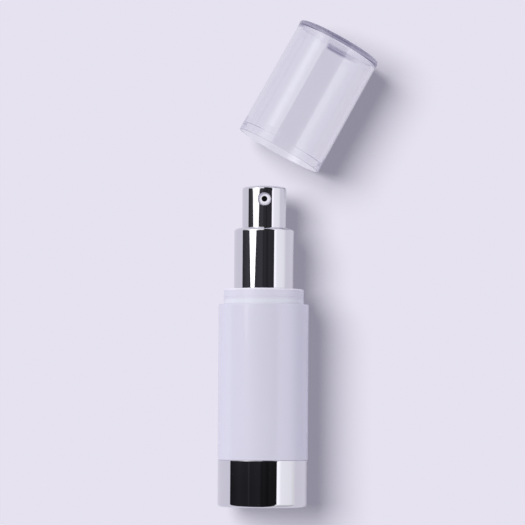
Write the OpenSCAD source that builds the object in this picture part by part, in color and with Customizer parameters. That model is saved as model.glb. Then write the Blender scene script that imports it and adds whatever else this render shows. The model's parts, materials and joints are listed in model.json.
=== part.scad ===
// Airless pump bottle, lying on its side with its overcap taken off beside it.
// The bottle's axis runs along +Y from the middle of its foot, and +Z is up from the table.
// Each piece is drawn upright on Z, with its nozzle towards -Y, and then laid down.

/* [Body] */
// Outer diameter of the base, the sleeve and the mouth of the cap
body_d = 27; // [25:0.5:34]
// Height of the bright base, up to its joint with the sleeve
base_h = 14; // [9:0.1:20]
// Length of the outer sleeve that shows above the base
sleeve_h = 46.6; // [40:0.1:80]
// Wall of the outer sleeve
sleeve_wall = 1.2; // [0.9:0.1:1.5]
// Rounding of the base's foot
foot_round = 1; // [0.4:0.1:1.5]
// Width of the rim that the bottle stands on
foot_rim_w = 2.4; // [1.2:0.1:4]
// Depth of the hollow inside that rim
foot_hollow = 0.5; // [0.2:0.1:0.9]
// Thickness from the foot's rim to the floor of the base
base_floor = 1.6; // [1.2:0.1:2.4]
// How far the base reaches up inside the sleeve
spigot_h = 4.4; // [2:0.1:8]
// Diameter of the air hole in the base and in the plug above it
vent_d = 1.6; // [0.8:0.1:2.4]
// Softened edges at the joints of the outer pieces
edge_round = 0.2; // [0.1:0.05:0.4]
// Rounding of the sleeve's shoulder
shoulder_round = 0.4; // [0.2:0.05:0.8]

/* [Inner bottle] */
// Air gap between the inner bottle and the sleeve
bottle_gap = 0.9; // [0.7:0.1:1.5]
// Wall of the inner bottle
bottle_wall = 0.9; // [0.6:0.1:1.3]
// Thickness of the inner bottle's shoulder
shoulder_t = 1.6; // [1.4:0.1:2.4]
// Thickness of the flange that hangs the inner bottle in the sleeve
flange_t = 1.2; // [0.8:0.1:1.4]
// Thickness of the ledge in the sleeve under that flange
ledge_t = 1.2; // [0.6:0.1:2]
// Outer diameter of the neck
neck_d = 14; // [13.4:0.1:14.4]
// Wall of the neck
neck_wall = 1.4; // [1:0.1:1.6]
// Height of the neck above the shoulder
neck_h = 10.2; // [9:0.1:12]
// How far the bead round the neck stands out
neck_bead = 0.25; // [0.1:0.05:0.25]
// Thickness of the plug's flange under the inner bottle
plug_t = 1; // [0.8:0.1:2]
// How far the plug reaches up into the inner bottle
plug_spigot_h = 2.2; // [1:0.1:4]
// Wall of the part of the plug that is inside the inner bottle
plug_wall = 1; // [0.7:0.1:2]

/* [Seat ring and collar] */
// Height of the ring that the cap slides over
ring_h = 4.5; // [4.2:0.1:8]
// Wall of the ring
ring_wall = 1.2; // [0.8:0.1:1.6]
// Rounding of the ring's upper edge
ring_round = 0.4; // [0.2:0.05:0.6]
// Height of the fine groove round the ring
ring_groove_z = 1.7; // [1.4:0.1:3]
// Width of that groove
ring_groove_w = 0.4; // [0.2:0.05:0.6]
// Depth of that groove
ring_groove_t = 0.12; // [0.06:0.02:0.3]
// Outer diameter of the collar
collar_d = 18; // [17.4:0.1:20]
// Height of the collar above the ring
collar_h = 18.4; // [16.5:0.1:22]
// Wall of the collar
collar_wall = 0.75; // [0.5:0.05:0.8]
// Height of the collar's rounded shoulder
collar_lip_h = 1.1; // [0.9:0.1:2]
// Wall of the snap cap inside the collar
closure_wall = 0.8; // [0.6:0.05:0.85]
// Thickness of the snap cap's top
closure_top = 1.2; // [1:0.1:1.6]

/* [Head] */
// Outer diameter of the head
head_d = 13.3; // [12.9:0.1:13.9]
// Height of the head that shows above the collar when it is up
head_h = 12.9; // [10.5:0.1:18]
// Gap left under the head when it is pressed right down
skirt_gap = 0.9; // [0.3:0.1:1.4]
// Gap between the head and the hole in the collar
head_gap = 0.3; // [0.2:0.05:0.4]
// Wall of the head's bright shell
head_wall = 0.55; // [0.4:0.05:0.8]
// Thickness of the shell's top, at its middle
head_top_t = 1.3; // [1:0.1:2]
// Rise of the domed top
head_dome = 0.8; // [0.4:0.1:1.2]
// Rounding of the head's upper edge
head_round = 0.8; // [0.4:0.1:1.2]
// Distance of the nozzle below the top of the head
nozzle_drop = 4.5; // [3.6:0.1:4.6]
// Diameter of the nozzle's face
nozzle_d = 3.8; // [3.2:0.1:4]
// Diameter of the hole in the nozzle
nozzle_bore = 1.6; // [0.8:0.1:1.8]
// How far the nozzle stands out of the head
nozzle_proud = 0.35; // [0.1:0.05:0.8]
// Diameter of the nozzle's shank inside the head
nozzle_shank_d = 2.7; // [2.4:0.1:3]

/* [Pump] */
// How far the head travels when it is pressed
stroke = 4; // [2:0.1:5]
// Bore of the pump's barrel
barrel_bore = 8; // [7.8:0.1:8.4]
// Wall of the barrel
barrel_wall = 0.9; // [0.7:0.1:1.1]
// Thickness of the flange on the barrel
barrel_flange_t = 1.2; // [0.8:0.1:1.6]
// Thickness of the sealing washer on the neck
gasket_t = 0.8; // [0.4:0.1:1.2]
// Thickness of the lid above the barrel
lid_t = 1; // [0.6:0.1:1.2]
// Length of the lid inside the barrel
lid_plug_h = 2.9; // [2:0.1:3.4]
// Outer diameter of the stem
stem_d = 4.2; // [4:0.1:4.6]
// Bore of the stem
stem_bore = 2.3; // [2:0.1:2.6]
// Thickness of the stem's lower flange
stem_flange_t = 0.8; // [0.6:0.1:1.2]
// Height of the seal's hub
seal_h = 2.6; // [2.2:0.1:3]
// Slack that the seal has along the rod, which opens the rod's ports
seal_slip = 0.7; // [0.4:0.05:0.9]
// Thickness of the rod's foot
foot_t = 1; // [0.6:0.1:1.4]
// Diameter of the rod inside the seal
rod_d = 3; // [2.8:0.1:3.2]
// Length of the return spring when the head is pressed right down
spring_low_h = 5; // [4.4:0.1:8]
// Wire of the return spring
spring_wire = 0.6; // [0.4:0.05:0.65]
// Mean diameter of the return spring
spring_d = 4.4; // [4:0.1:4.6]
// Turns of the return spring
spring_turns = 6; // [4:1:6]
// Thickness of the plate that keeps the inlet ball in its chamber
retainer_t = 0.8; // [0.5:0.1:1.2]
// Diameter of the inlet ball
ball_d = 2.4; // [2.2:0.1:2.6]
// How far the inlet ball lifts off its seat
ball_lift = 0.6; // [0.3:0.05:1]
// Diameter of the inlet hole below the ball
inlet_d = 1.4; // [0.8:0.1:1.6]
// Length of the inlet below the ball's seat
inlet_h = 0.8; // [0.4:0.1:2]

/* [Follower piston] */
// Height of the follower piston
follower_h = 10; // [9:0.1:13]
// Wall of the follower piston
follower_wall = 0.9; // [0.7:0.1:1.2]
// Height of each sealing lip
lip_h = 0.7; // [0.4:0.1:1.2]
// Width of the lips outside the follower's wall
lip_w = 0.47; // [0.3:0.01:0.7]
// Height of the well's floor above the follower's lower edge
well_z = 2.2; // [1.5:0.1:3]
// Distance of the follower's crown below its upper edge
crown_drop = 1.4; // [0.8:0.1:2]

/* [Overcap] */
// Length of the overcap
cap_h = 37.8; // [36:0.1:48]
// Wall of the overcap at its mouth
cap_wall = 1.2; // [1:0.05:1.5]
// Gap between the seat ring and the overcap's bore
cap_fit = 0.3; // [0.2:0.05:0.5]
// Thickness of the overcap's top
cap_top_t = 1.5; // [1:0.1:3]
// How much narrower the overcap is at its top, in diameter
cap_draft = 0.4; // [0:0.05:0.6]
// Rounding of the overcap's upper edge
cap_round = 0.6; // [0.3:0.1:1.2]
// Height of the lead-in inside the mouth
lead_h = 2.4; // [1.6:0.1:3]
// Width of the lead-in at the mouth
lead_w = 0.7; // [0.6:0.05:0.75]
// Width of the lead-in at its small step
lead_step_w = 0.32; // [0.3:0.01:0.4]
// Height where the bore becomes straight
lead_end_h = 4.5; // [4:0.1:6]
// Angle between the overcap and the bottle on the table
cap_tilt = 28.8; // [0:0.1:60]
// Distance of the mouth's middle to the right of the bottle's axis
cap_side = 4.2; // [0:0.1:12]
// Distance of the mouth's middle beyond the top of the head
cap_ahead = 10.5; // [9.5:0.1:40]

/* [Hidden] */
$fn = 96;

// Clearances: pieces fixed together, pieces that run in each other, seals, and stops
fixed_fit = 0.05;
run_fit = 0.05;
seal_fit = 0.03;
stop_gap = 0.1;
loose_gap = 0.2;
// How far a cut runs past the face that it opens
past = 1;

// Radii of the double wall
body_r = body_d / 2;
sleeve_in_r = body_r - sleeve_wall;
bottle_r = sleeve_in_r - bottle_gap;
bottle_in_r = bottle_r - bottle_wall;
ledge_r = bottle_r + loose_gap;

// Heights of the base, the plug, the shoulder, the neck and the ring
z_plug = base_floor;
z_bottle = z_plug + plug_t;
z_shoulder = base_h + sleeve_h;
z_neck = z_shoulder + neck_h;
z_ring = z_shoulder + ring_h;

// Overcap, and the ring that it slides over
cap_in_r = body_r - cap_wall;
cap_top_in_r = cap_in_r - cap_draft / 2;
ring_r = cap_in_r - cap_fit;
lead_step_h = 0.2;
lead_step_t = 0.12;
cap_in_round = 0.8;

// Neck, and the snap cap that holds the barrel's flange on it
neck_r = neck_d / 2;
neck_in_r = neck_r - neck_wall;
closure_r = collar_d / 2 - collar_wall - fixed_fit;
closure_in_r = closure_r - closure_wall;
z_flange = z_neck + gasket_t;
z_lid = z_flange + barrel_flange_t;
z_closure = z_lid + closure_top;
bead_z = z_shoulder + 7.3;
bead_h = 0.8;
snap_z = z_shoulder + 5.4;
snap_h = 1;

// Collar and head
collar_r = collar_d / 2;
z_collar = z_ring + collar_h;
head_r = head_d / 2;
head_in_r = head_r - head_wall;
collar_hole_r = head_r + head_gap;
z_head = z_collar + head_h;
z_skirt = z_closure + stroke + skirt_gap;
z_core = z_skirt + 0.8;
z_core_top = z_head - head_top_t;
z_nozzle = z_head - nozzle_drop;
z_core_plug = z_nozzle - 4;
z_socket_top = z_nozzle - 1.7;
core_wall = 0.75;
socket_wall = 1.3;
riser_r = 1.1;
channel_r = 0.9;
shank_start = 2.7;
face_start = 5.3;
nozzle_round = 0.5;

// Pump, from its lid downwards
barrel_r = barrel_bore / 2;
barrel_out_r = barrel_r + barrel_wall;
barrel_flange_r = closure_in_r - stop_gap;
lid_r = barrel_out_r + stop_gap;
z_lid_plug = z_lid - lid_plug_h;
z_stem = z_lid_plug - stop_gap - stem_flange_t;
z_seal = z_stem - stop_gap - seal_slip - seal_h;
z_rod = z_seal - foot_t;
spring_h = stroke + spring_low_h;
z_retainer = z_rod - spring_h;
z_barrel = z_retainer - retainer_t;
barrel_floor = 1;

// Stem, rod and seal
stem_r = stem_d / 2;
stem_flange_r = stem_r + 1.1;
rod_r = rod_d / 2;
rod_bore_r = 0.6;
port_r = 0.3;
shank_h = 4.4;
spring_r = spring_d / 2;
rod_foot_r = spring_r + spring_wire / 2 + loose_gap;
seal_r = barrel_r - seal_fit;
seal_wall = 0.25;
seal_lip = 0.22;
seal_in_r = seal_r - seal_lip - seal_wall;
seal_hub_r = rod_r + 1;
seal_skirt_h = 3.4;
seal_web_t = 0.8;

// Inlet ball on its cone, with room to lift below the plate
ball_r = ball_d / 2;
chamber_r = ball_r + 0.4;
inlet_r = inlet_d / 2;
snout_r = chamber_r + 1.3;
ball_play = 0.03;
ball_z = z_barrel - loose_gap - ball_lift - ball_r;
cone_z = ball_z - (ball_r + ball_play) * sqrt(2);
z_inlet = cone_z + inlet_r - inlet_h;
plate_hole_r = ball_r - 0.4;
plate_slot_l = 2 * (ball_r + loose_gap);
plate_slot_w = 0.7;

// Follower piston, just above the plug, with a well that goes over the pump
z_follower = z_bottle + plug_spigot_h + 0.3;
follower_r = bottle_in_r - seal_fit - lip_w;
well_r = barrel_out_r + 0.8;
floor_t = 1;
lip_slope = 0.9;

// Lays an upright piece down along +Y, nozzle up
module laid() {
    rotate([-90, 0, 0]) children();
}

// Lays the overcap on the table beside the head
module laid_beside() {
    translate([cap_side, z_head + cap_ahead, 0])
        rotate([0, 0, -cap_tilt])
            laid() children();
}

// A band of a turned profile, from one radius and height to another
module band(r0, r1, z0, z1) {
    translate([r0, z0]) square([r1 - r0, z1 - z0]);
}

// What a round takes off the corner at p, which points along way
module corner(p, r, way = [1, 1]) {
    over = 0.05;
    translate(p)
        mirror([way.x < 0 ? 1 : 0, 0]) mirror([0, way.y < 0 ? 1 : 0])
            translate([-r, -r]) difference() {
                square(r + over);
                circle(r);
            }
}

// Half profile of a post with a domed top and a rounded edge
module domed_post(r, z0, z1, rise, edge) {
    dome_r = (r * r + rise * rise) / (2 * rise);
    z_dome = z1 - dome_r;
    z_edge = z_dome + sqrt(pow(dome_r - edge, 2) - pow(r - edge, 2));
    meet_r = (r - edge) * dome_r / (dome_r - edge);
    band(0, r, z0, z_edge);
    intersection() {
        band(0, meet_r, z0, z1);
        translate([0, z_dome]) circle(dome_r);
    }
    intersection() {
        band(0, r, z0, z1);
        translate([r - edge, z_edge]) circle(edge);
    }
}

// Bright cup that the bottle stands on, with a spigot up inside the sleeve
module base_cup() {
    rim_in_r = body_r - foot_round - foot_rim_w;
    z_spigot = base_h + spigot_h;
    color("silver") laid() rotate_extrude() difference() {
        union() {
            band(0, body_r, 0, base_h);
            band(ledge_r, sleeve_in_r - fixed_fit, 0, z_spigot);
        }
        band(0, ledge_r, base_floor, z_spigot + past);
        band(0, rim_in_r, -past, foot_hollow);
        band(0, vent_d / 2, -past, base_floor + past);
        corner([body_r, 0], foot_round, [1, -1]);
        corner([body_r, base_h], edge_round);
    }
}

// White outer wall, with a ledge inside that the inner bottle hangs on
module outer_sleeve() {
    z_ledge = z_shoulder - flange_t;
    color("lavender") laid() rotate_extrude() difference() {
        union() {
            band(sleeve_in_r, body_r, base_h, z_shoulder);
            band(ledge_r, body_r, z_ledge - ledge_t, z_ledge);
        }
        corner([body_r, z_shoulder], shoulder_round);
        corner([body_r, base_h], edge_round, [1, -1]);
    }
}

// Inner bottle that holds the cream, with the neck that the pump sits in
module inner_bottle() {
    flange_r = sleeve_in_r - fixed_fit;
    color("whitesmoke") laid() rotate_extrude() {
        band(bottle_in_r, bottle_r, z_bottle, z_shoulder);
        band(neck_in_r, bottle_r, z_shoulder - shoulder_t, z_shoulder);
        band(neck_in_r, flange_r, z_shoulder - flange_t, z_shoulder);
        band(neck_in_r, neck_r, z_shoulder - shoulder_t, z_neck);
        polygon([
            [neck_in_r, bead_z],
            [neck_r, bead_z],
            [neck_r + neck_bead, bead_z + neck_bead],
            [neck_r + neck_bead, bead_z + bead_h - neck_bead],
            [neck_r, bead_z + bead_h],
            [neck_in_r, bead_z + bead_h]
        ]);
    }
}

// Plug under the inner bottle, with the air hole that lets the follower rise
module base_plug() {
    plug_r = bottle_in_r - fixed_fit;
    color("white") laid() rotate_extrude() {
        band(vent_d / 2, bottle_r, z_plug, z_bottle);
        band(plug_r - plug_wall, plug_r, z_plug, z_bottle + plug_spigot_h);
    }
}

// Follower that air pushes up behind the cream, with two lips and a well
module follower_piston() {
    wall_in_r = follower_r - follower_wall;
    lip_r = follower_r + lip_w;
    crown_z = follower_h - crown_drop;
    color("white") laid() translate([0, 0, z_follower]) rotate_extrude() {
        band(wall_in_r, follower_r, 0, follower_h);
        polygon([
            [wall_in_r, 0], [lip_r, 0], [lip_r, lip_h],
            [follower_r, lip_h + lip_slope], [wall_in_r, lip_h + lip_slope]
        ]);
        polygon([
            [wall_in_r, follower_h - lip_h - lip_slope],
            [follower_r, follower_h - lip_h - lip_slope],
            [lip_r, follower_h - lip_h], [lip_r, follower_h], [wall_in_r, follower_h]
        ]);
        band(well_r, follower_r, crown_z - floor_t, crown_z);
        band(well_r, well_r + follower_wall, well_z, crown_z);
        band(0, well_r + follower_wall, well_z, well_z + floor_t);
    }
}

// White ring on the shoulder that the overcap slides over
module seat_ring() {
    bore_r = closure_in_r - stop_gap;
    groove_z = z_shoulder + ring_groove_z;
    color("lavender") laid() rotate_extrude() difference() {
        band(bore_r, ring_r, z_shoulder, z_ring);
        band(bore_r + ring_wall, ring_r - ring_wall, z_shoulder - past, z_ring - ring_wall);
        band(ring_r - ring_groove_t, ring_r + past, groove_z, groove_z + ring_groove_w);
        corner([ring_r, z_ring], ring_round);
    }
}

// Bright collar round the pump, with a rounded shoulder and a hole for the head
module collar_shell() {
    lip_w = collar_r - collar_hole_r;
    z_lip = z_collar - collar_lip_h;
    color("silver") laid() rotate_extrude() difference() {
        polygon([
            [0, z_ring],
            [collar_r, z_ring],
            for (a = [0 : 7.5 : 90])
                [collar_hole_r + lip_w * cos(a), z_lip + collar_lip_h * sin(a)],
            [0, z_collar]
        ]);
        band(0, collar_r - collar_wall, z_ring - past, z_lip);
        band(0, collar_hole_r, z_ring - past, z_collar + past);
        corner([collar_r, z_ring], edge_round, [1, -1]);
    }
}

// Snap cap inside the collar, which holds the pump's flange on the neck
module closure() {
    z_low = z_ring + loose_gap;
    snap_r = neck_r + stop_gap;
    color("white") laid() rotate_extrude() {
        band(closure_in_r, closure_r, z_low, z_closure);
        band(lid_r + stop_gap, closure_r, z_lid, z_closure);
        polygon([
            [closure_r, snap_z + snap_h],
            [closure_in_r, snap_z + snap_h],
            [snap_r, snap_z + 2 * snap_h / 3],
            [snap_r, snap_z + snap_h / 3],
            [closure_in_r, snap_z],
            [closure_r, snap_z]
        ]);
    }
}

// Soft washer between the neck and the pump's flange
module neck_gasket() {
    color("gainsboro") laid() rotate_extrude()
        band(barrel_out_r + stop_gap, neck_r - stop_gap, z_neck, z_flange);
}

// Barrel of the pump, with a flange above and the inlet ball's chamber below
module pump_housing() {
    color("whitesmoke") laid() rotate_extrude() difference() {
        union() {
            band(0, barrel_out_r, z_barrel - barrel_floor, z_lid);
            band(0, barrel_flange_r, z_flange, z_lid);
            band(0, snout_r, z_inlet, z_barrel);
        }
        polygon([
            [0, z_inlet - past],
            [inlet_r, z_inlet - past],
            [inlet_r, cone_z + inlet_r],
            [chamber_r, cone_z + chamber_r],
            [chamber_r, z_barrel],
            [barrel_r, z_barrel],
            [barrel_r, z_lid + past],
            [0, z_lid + past]
        ]);
    }
}

// Lid of the barrel, which guides the stem and stops it on its way up
module housing_lid() {
    guide_r = stem_r + run_fit;
    color("white") laid() rotate_extrude() {
        band(guide_r, barrel_r - fixed_fit, z_lid_plug, z_lid + lid_t);
        band(guide_r, lid_r, z_lid, z_lid + lid_t);
    }
}

// Plate on the barrel's floor that keeps the ball in and carries the spring
module ball_retainer() {
    color("white") laid() translate([0, 0, z_barrel]) difference() {
        cylinder(r = barrel_r - fixed_fit, h = retainer_t);
        translate([0, 0, -past]) cylinder(r = plate_hole_r, h = retainer_t + 2 * past);
        for (turn = [0, 90])
            rotate(turn)
                translate([-plate_slot_l / 2, -plate_slot_w / 2, -past])
                    cube([plate_slot_l, plate_slot_w, retainer_t + 2 * past]);
    }
}

// Ball that closes the inlet while the head goes down
module inlet_ball() {
    color("silver") laid() translate([0, 0, ball_z]) sphere(ball_r);
}

// Points round the wire of the spring, at one step of its coil
function wire_ring(step, steps_per_turn, sides, rise) = [
    for (side = [0 : sides - 1])
        let (
            turn = 360 * step / steps_per_turn,
            around = 360 * side / sides,
            out = spring_r + spring_wire / 2 * cos(around)
        )
        [out * cos(turn), out * sin(turn), rise * step + spring_wire / 2 * sin(around)]
];

// Return spring under the rod's foot
module return_spring() {
    steps_per_turn = 8;
    sides = 6;
    steps = spring_turns * steps_per_turn;
    end_gap = 0.02;
    rise = (spring_h - spring_wire - 2 * end_gap) / steps;
    points = [for (step = [0 : steps]) each wire_ring(step, steps_per_turn, sides, rise)];
    walls = [
        for (step = [0 : steps - 1], side = [0 : sides - 1])
            let (
                a = step * sides + side,
                b = step * sides + (side + 1) % sides,
                c = a + sides,
                d = b + sides
            )
            each [[a, b, d], [a, d, c]]
    ];
    first = [for (side = [1 : sides - 2]) [0, side + 1, side]];
    last = [for (side = [1 : sides - 2]) [steps * sides, steps * sides + side,
        steps * sides + side + 1]];
    color("gray") laid()
        translate([0, 0, z_retainer + spring_wire / 2 + end_gap])
            polyhedron(points = points, faces = concat(walls, first, last));
}

// Hollow rod below the stem, with a foot on the spring and ports under the seal
module plunger_rod() {
    port_z = z_seal + port_r + 0.05;
    color("white") laid() difference() {
        rotate_extrude() difference() {
            union() {
                band(0, rod_foot_r, z_rod, z_seal);
                band(0, rod_r, z_rod, z_stem);
                band(0, stem_bore / 2 - fixed_fit, z_rod, z_stem + shank_h);
            }
            band(0, rod_bore_r, z_seal, z_stem + shank_h + past);
        }
        translate([-rod_r - past, 0, port_z])
            rotate([0, 90, 0])
                cylinder(r = port_r, h = 2 * (rod_r + past));
    }
}

// Seal that wipes the barrel and slips on the rod to open its ports
module piston_seal() {
    z_low = z_seal - (seal_skirt_h - seal_h) / 2;
    z_high = z_low + seal_skirt_h;
    waist_r = seal_r - seal_lip;
    color("gainsboro") laid() rotate_extrude() {
        band(rod_r + run_fit, seal_hub_r, z_seal, z_seal + seal_h);
        band(rod_r + run_fit, waist_r, z_seal + seal_web_t, z_seal + 2 * seal_web_t);
        polygon([
            [seal_in_r, z_low], [seal_r, z_low], [seal_r, z_low + seal_lip],
            [waist_r, z_low + 3 * seal_lip], [waist_r, z_high - 3 * seal_lip],
            [seal_r, z_high - seal_lip], [seal_r, z_high], [seal_in_r, z_high]
        ]);
    }
}

// Hollow stem that carries the head
module stem() {
    color("white") laid() rotate_extrude() difference() {
        union() {
            band(0, stem_r, z_stem, z_socket_top - loose_gap);
            band(0, stem_flange_r, z_stem, z_stem + stem_flange_t);
        }
        band(0, stem_bore / 2, z_stem - past, z_head);
    }
}

// White inside of the head, with the socket for the stem and the way to the nozzle
module actuator_core() {
    core_r = head_in_r - fixed_fit;
    socket_r = stem_r + run_fit;
    face_r = nozzle_d / 2 + fixed_fit;
    color("white") laid() difference() {
        rotate_extrude() {
            band(core_r - core_wall, core_r, z_core, z_core_top);
            band(socket_r, socket_r + socket_wall, z_core + 1, z_socket_top);
            band(riser_r, core_r, z_socket_top, z_core_top);
            band(socket_r, core_r, z_core_plug, z_socket_top);
            band(0, riser_r + past, z_nozzle + riser_r, z_core_top);
        }
        translate([0, 0, z_nozzle]) rotate([90, 0, 0]) {
            cylinder(r = channel_r, h = head_r);
            translate([0, 0, shank_start - stop_gap])
                cylinder(r = nozzle_shank_d / 2 + fixed_fit, h = head_r);
            translate([0, 0, face_start - stop_gap])
                cylinder(r = face_r, h = head_r);
        }
    }
}

// Bright shell of the head, pressed down with a finger
module actuator_shell() {
    color("silver") laid() difference() {
        rotate_extrude() difference() {
            domed_post(head_r, z_skirt, z_head, head_dome, head_round);
            band(0, head_in_r, z_skirt - past, z_core_top);
            corner([head_r, z_skirt], edge_round, [1, -1]);
        }
        translate([0, 0, z_nozzle]) rotate([90, 0, 0])
            cylinder(r = nozzle_d / 2 + fixed_fit, h = head_r + past);
    }
}

// White nozzle in the side of the head
module nozzle_insert() {
    face_end = head_r + nozzle_proud;
    color("white") laid() translate([0, 0, z_nozzle]) rotate([90, 0, 0])
        rotate_extrude() difference() {
            union() {
                band(0, nozzle_d / 2, face_start, face_end);
                band(0, nozzle_shank_d / 2, shank_start, face_start);
            }
            band(0, nozzle_bore / 2, shank_start - past, face_end + past);
            corner([nozzle_d / 2, face_end], nozzle_round);
            corner([nozzle_bore / 2, face_end], nozzle_round / 2, [-1, 1]);
        }
}

// Clear overcap, with a stepped lead-in inside its mouth
module overcap() {
    top_r = body_r - cap_draft / 2;
    z_ceiling = cap_h - cap_top_t;
    color([0.88, 0.9, 0.96, 0.4]) laid_beside() rotate_extrude() difference() {
        polygon([[0, 0], [body_r, 0], [top_r, cap_h], [0, cap_h]]);
        difference() {
            polygon([
                [0, -past],
                [cap_in_r + lead_w, -past],
                [cap_in_r + lead_w, 0],
                [cap_in_r + lead_step_w, lead_h],
                [cap_in_r + lead_step_w - lead_step_t, lead_h + lead_step_h],
                [cap_in_r, lead_end_h],
                [cap_top_in_r, z_ceiling],
                [0, z_ceiling]
            ]);
            corner([cap_top_in_r, z_ceiling], cap_in_round);
        }
        corner([top_r, cap_h], cap_round);
        corner([body_r, 0], edge_round, [1, -1]);
    }
}

base_cup();
outer_sleeve();
inner_bottle();
base_plug();
follower_piston();
seat_ring();
collar_shell();
closure();
neck_gasket();
pump_housing();
housing_lid();
ball_retainer();
inlet_ball();
return_spring();
plunger_rod();
piston_seal();
stem();
actuator_core();
actuator_shell();
nozzle_insert();
overcap();
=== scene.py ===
# %% [markdown]
# # An airless pump bottle and its clear overcap
# The bottle lies on a pale table with its overcap beside it, seen from straight above.
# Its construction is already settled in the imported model, which is loaded here as a fixed frame.
# This script only dresses that frame: smooth surfaces, finishes, light and a camera.

import json
import math

import bmesh
import bpy
import numpy as np
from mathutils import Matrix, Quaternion, Vector

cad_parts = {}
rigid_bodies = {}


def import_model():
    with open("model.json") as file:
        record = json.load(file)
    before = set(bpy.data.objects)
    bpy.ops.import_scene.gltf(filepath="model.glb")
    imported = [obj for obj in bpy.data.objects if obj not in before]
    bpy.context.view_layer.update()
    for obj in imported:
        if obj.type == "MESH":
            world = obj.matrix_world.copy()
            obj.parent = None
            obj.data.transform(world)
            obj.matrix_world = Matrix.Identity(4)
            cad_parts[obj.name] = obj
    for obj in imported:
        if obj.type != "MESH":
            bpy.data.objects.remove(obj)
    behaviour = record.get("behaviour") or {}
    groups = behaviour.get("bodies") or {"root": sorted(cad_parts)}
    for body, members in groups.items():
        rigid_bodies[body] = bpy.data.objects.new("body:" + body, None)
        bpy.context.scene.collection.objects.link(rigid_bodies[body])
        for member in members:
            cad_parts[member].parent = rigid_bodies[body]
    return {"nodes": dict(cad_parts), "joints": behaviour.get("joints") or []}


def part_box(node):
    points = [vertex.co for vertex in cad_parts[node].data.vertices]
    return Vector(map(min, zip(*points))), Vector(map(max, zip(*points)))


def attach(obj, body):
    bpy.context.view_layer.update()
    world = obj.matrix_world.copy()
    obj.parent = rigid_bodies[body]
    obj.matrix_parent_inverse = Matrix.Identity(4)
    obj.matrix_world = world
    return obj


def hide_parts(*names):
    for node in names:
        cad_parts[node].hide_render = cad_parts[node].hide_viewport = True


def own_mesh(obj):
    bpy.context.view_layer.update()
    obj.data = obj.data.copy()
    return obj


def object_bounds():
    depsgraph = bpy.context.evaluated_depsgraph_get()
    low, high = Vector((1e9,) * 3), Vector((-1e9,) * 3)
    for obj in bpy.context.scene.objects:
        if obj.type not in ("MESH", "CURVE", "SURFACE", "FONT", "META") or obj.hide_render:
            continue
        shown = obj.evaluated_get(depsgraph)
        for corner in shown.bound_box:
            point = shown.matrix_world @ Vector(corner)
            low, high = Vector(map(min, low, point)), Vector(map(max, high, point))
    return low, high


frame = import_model()
cad_low, cad_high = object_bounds()
MM = 0.001
MICRON = 0.001 * MM

# %% [markdown]
# ## Camera
# The photograph looks down on the table from nearly a metre away.
# The head's top edge and the rim of the overcap bow upwards in it, while the foot's edge
# is almost straight. So the camera hangs above the foot's end and leans a little towards the overcap.
# A long lens at that place repeats the bows, which a camera without perspective would lose.

# %% Camera
CAMERA_HEIGHT = 950 * MM
CAMERA_ALONG = 24.4 * MM
VIEW_ACROSS = 157.6 * MM
VIEW_MIDDLE = Vector((-0.45, 73.2, 0)) * MM
VIEW_TURN = math.radians(0.38)
NEAREST, FARTHEST = 0.01, 20

camera_place = Vector((VIEW_MIDDLE.x, CAMERA_ALONG, CAMERA_HEIGHT))
view_line = VIEW_MIDDLE - camera_place
lens = bpy.data.cameras.new("camera")
lens.angle = 2 * math.atan(VIEW_ACROSS / 2 / view_line.length)
lens.clip_start, lens.clip_end = NEAREST, FARTHEST
camera = bpy.data.objects.new("camera", lens)
camera.location = camera_place
camera.rotation_mode = "QUATERNION"
camera.rotation_quaternion = view_line.to_track_quat("-Z", "Y") @ Quaternion((0, 0, 1), VIEW_TURN)
bpy.context.scene.collection.objects.link(camera)
bpy.context.scene.camera = camera
bpy.context.scene.view_settings.view_transform = "Standard"
print(f"lens of {lens.lens:.0f} mm, {view_line.length:.3f} m from the middle of the view")


# %% [markdown]
# ## Colours and shader nodes
# Colours are written as they look on a screen, from 0 to 255, because they can then be compared
# with the photograph. Shaders work with light itself, so each colour is turned into its amount of light.
# A few short helpers put nodes down and join them, so that each material reads as a short recipe.

# %% Helpers for colours
def light(*screen):
    """Amount of light of a screen colour: the curve of screens, sRGB, undone."""
    share = np.array(screen, float) / 255
    amount = np.where(share <= 0.04045, share / 12.92, ((share + 0.055) / 1.055) ** 2.4)
    return (*amount.tolist(), 1.0)


print("a screen's middle grey, 128, is", round(light(128)[0], 3), "of its white as light")


# %% Helpers for nodes
def give(tree, socket, value):
    """Links an output to a socket, or sets the socket to a plain value."""
    if isinstance(value, bpy.types.NodeSocket):
        tree.links.new(value, socket)
    else:
        socket.default_value = value


def add_node(tree, kind, **settings):
    """A new node of one kind, with its properties and inputs given by name."""
    node = tree.nodes.new(kind)
    for name, value in settings.items():
        if hasattr(node, name):
            setattr(node, name, value)
        else:
            give(tree, node.inputs[name.replace("_", " ")], value)
    return node


def in_order(tree, kind, *values, **settings):
    """The first output of a new node whose inputs are given in their order."""
    node = add_node(tree, kind, **settings)
    for socket, value in zip(node.inputs, values):
        give(tree, socket, value)
    return node.outputs[0]


# %% Helpers for numbers and places
def link_math(tree, operation, *values):
    """A sum, a product or the like of sockets and numbers."""
    return in_order(tree, "ShaderNodeMath", *values, operation=operation)


def product(tree, total, *others):
    """Several values multiplied together."""
    for value in others:
        total = link_math(tree, "MULTIPLY", total, value)
    return total


def mapped(tree, value, low, high, to_low=0.0, to_high=1.0, curve="SMOOTHSTEP"):
    """A value carried from low..high to to_low..to_high, and held level outside them."""
    node = add_node(tree, "ShaderNodeMapRange", interpolation_type=curve, Value=value,
                    From_Min=low, From_Max=high, To_Min=to_low, To_Max=to_high)
    return node.outputs["Result"]


def axes(tree, kind):
    """The X, Y and Z sockets of one kind of coordinates."""
    where = add_node(tree, "ShaderNodeTexCoord").outputs[kind]
    return add_node(tree, "ShaderNodeSeparateXYZ", Vector=where).outputs


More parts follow.
